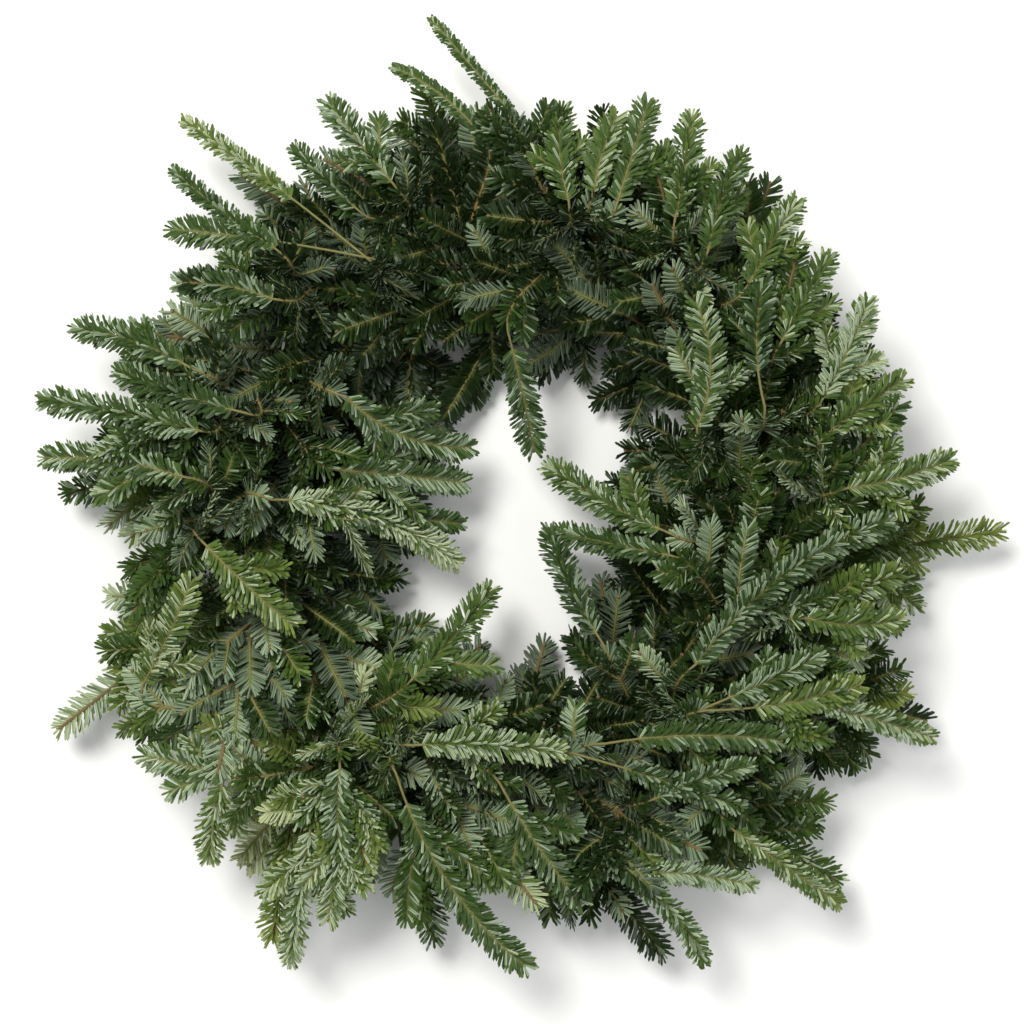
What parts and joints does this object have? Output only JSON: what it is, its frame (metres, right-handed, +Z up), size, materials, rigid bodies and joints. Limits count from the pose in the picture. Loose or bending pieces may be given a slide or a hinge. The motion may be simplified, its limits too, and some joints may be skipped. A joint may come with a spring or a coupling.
{
  "type": "fresh evergreen wreath",
  "caption": "One-sided fir wreath lying face up: bunches of cut sprays bound with fine wire round a single wire ring, open in the middle.",
  "frame": {"origin": "on the surface that the wreath lies on, under the middle of its bounding box", "axes": "+Z up out of the wreath's face, +Y towards the top of the wreath as it would hang on a door"},
  "size_m": [0.6066, 0.5976, 0.0926],
  "materials": {
    "fir_inner": "fresh fir needles on green-brown twigs, shaded side of the wreath",
    "fir_face": "fresh fir needles, dark glossy green above with two silvery bands below",
    "fir_crown": "fresh fir needles, dark glossy green above with two silvery bands below",
    "fir_outer": "fresh fir needles, silver-green at the rim, on yellow-brown twigs",
    "ring_enamel": "dark green enamelled steel wire, satin",
    "binding_enamel": "green enamelled florist's wire, satin"
  },
  "bodies": {
    "root": {"wire_ring": "ring_enamel", "binding_wire": "binding_enamel", "inner_spray_01": "fir_inner", "face_spray_01": "fir_face", "crown_spray_01": "fir_crown", "outer_spray_01": "fir_outer", "inner_spray_02": "fir_inner", "face_spray_02": "fir_face", "crown_spray_02": "fir_crown", "outer_spray_02": "fir_outer", "inner_spray_03": "fir_inner", "face_spray_03": "fir_face", "crown_spray_03": "fir_crown", "outer_spray_03": "fir_outer", "inner_spray_04": "fir_inner", "face_spray_04": "fir_face", "crown_spray_04": "fir_crown", "outer_spray_04": "fir_outer", "inner_spray_05": "fir_inner", "face_spray_05": "fir_face", "crown_spray_05": "fir_crown", "outer_spray_05": "fir_outer", "inner_spray_06": "fir_inner", "face_spray_06": "fir_face", "crown_spray_06": "fir_crown", "outer_spray_06": "fir_outer", "inner_spray_07": "fir_inner", "face_spray_07": "fir_face", "crown_spray_07": "fir_crown", "outer_spray_07": "fir_outer", "inner_spray_08": "fir_inner", "face_spray_08": "fir_face", "crown_spray_08": "fir_crown", "outer_spray_08": "fir_outer", "inner_spray_09": "fir_inner", "face_spray_09": "fir_face", "crown_spray_09": "fir_crown", "outer_spray_09": "fir_outer", "inner_spray_10": "fir_inner", "face_spray_10": "fir_face", "crown_spray_10": "fir_crown", "outer_spray_10": "fir_outer", "inner_spray_11": "fir_inner", "face_spray_11": "fir_face", "crown_spray_11": "fir_crown", "outer_spray_11": "fir_outer", "inner_spray_12": "fir_inner", "face_spray_12": "fir_face", "crown_spray_12": "fir_crown", "outer_spray_12": "fir_outer", "inner_spray_13": "fir_inner", "face_spray_13": "fir_face", "crown_spray_13": "fir_crown", "outer_spray_13": "fir_outer", "inner_spray_14": "fir_inner", "face_spray_14": "fir_face", "crown_spray_14": "fir_crown", "outer_spray_14": "fir_outer"}
  },
  "joints": []
}
